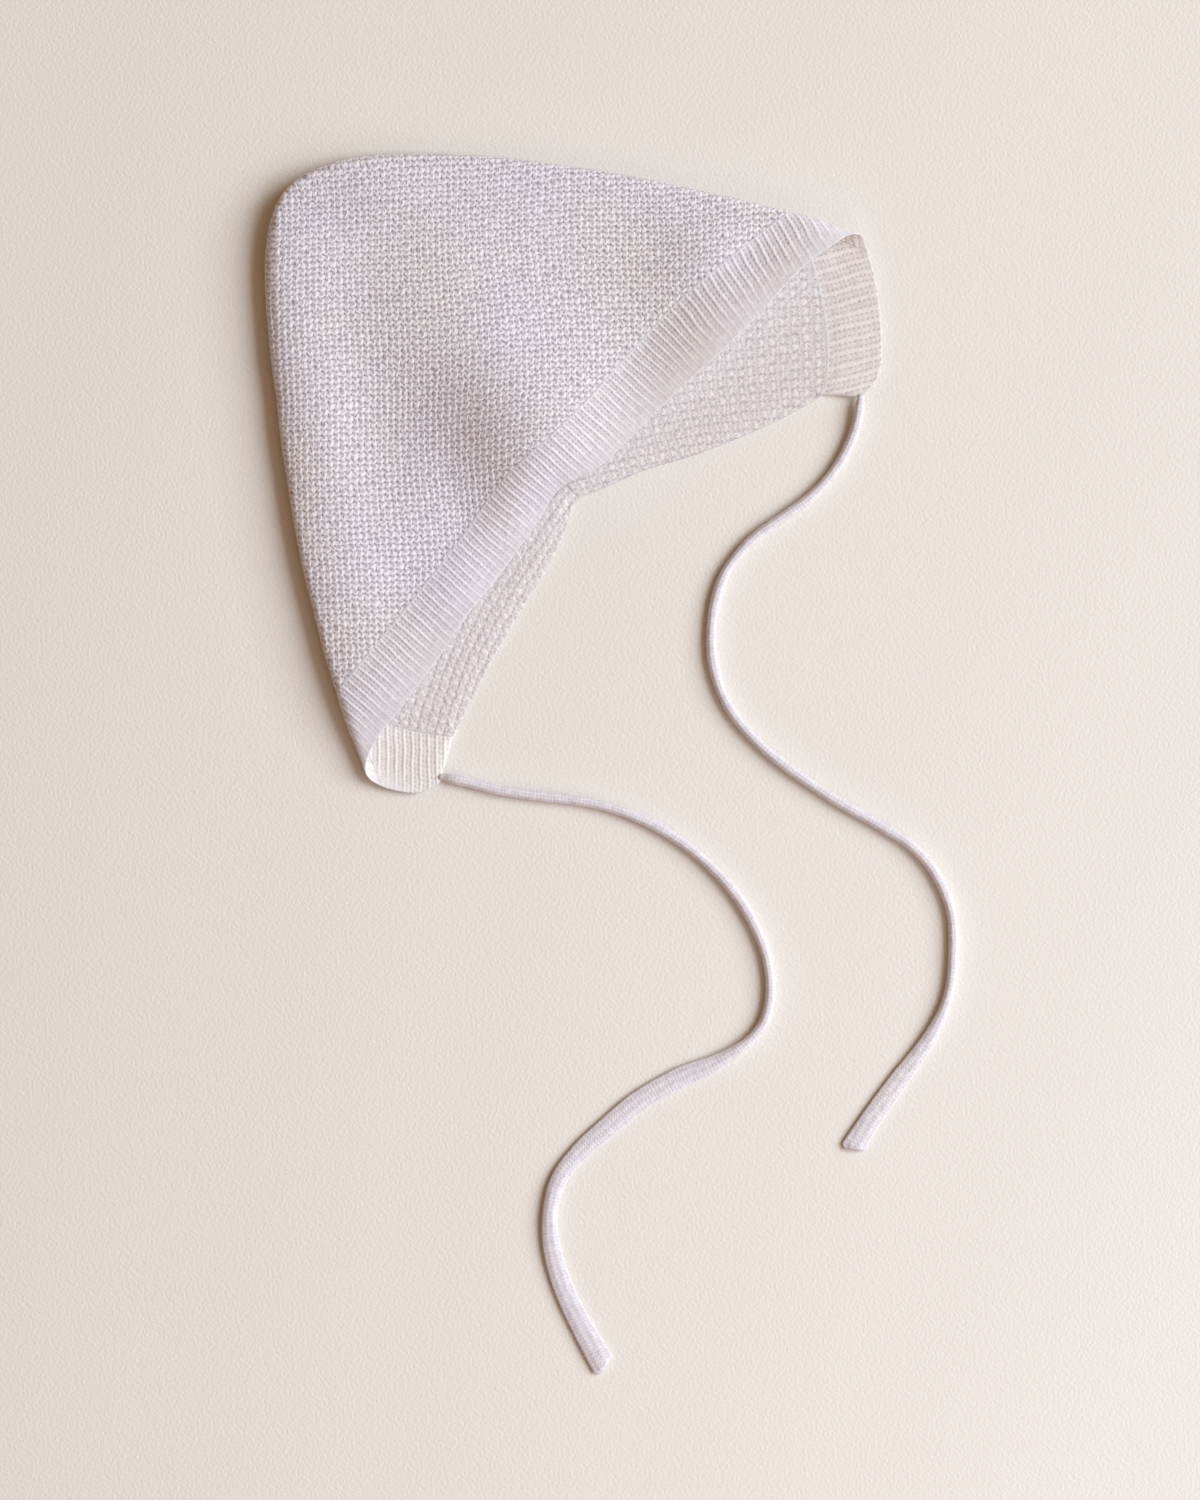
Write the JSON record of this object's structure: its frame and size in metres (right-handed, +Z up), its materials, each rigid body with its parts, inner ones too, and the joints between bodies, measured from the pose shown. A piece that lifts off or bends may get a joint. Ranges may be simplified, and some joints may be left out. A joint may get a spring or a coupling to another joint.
{
  "type": "baby bonnet",
  "caption": "Knitted baby bonnet lying folded flat: a pointed seed-stitch crown, a ribbed band along the face edge and a long knitted tie at each end of the band.",
  "frame": {"origin": "under the middle of the folded bonnet without its ties, on the surface it lies on", "axes": "+Z up from the surface, +Y from the face opening to the crown's tip, +X along the face edge towards the right fold"},
  "size_m": [0.3514, 0.3682, 0.0182],
  "materials": {
    "seed_stitch": "fine merino in seed stitch, pale lavender white, matt and slightly fuzzy",
    "rib": "the same yarn in one by one rib, matt",
    "tie_knit": "the same yarn in narrow stocking stitch that curls into a cord, matt"
  },
  "bodies": {
    "root": {"crown": "seed_stitch", "face_band": "rib", "right_tie": "tie_knit", "left_tie": "tie_knit"}
  },
  "joints": []
}
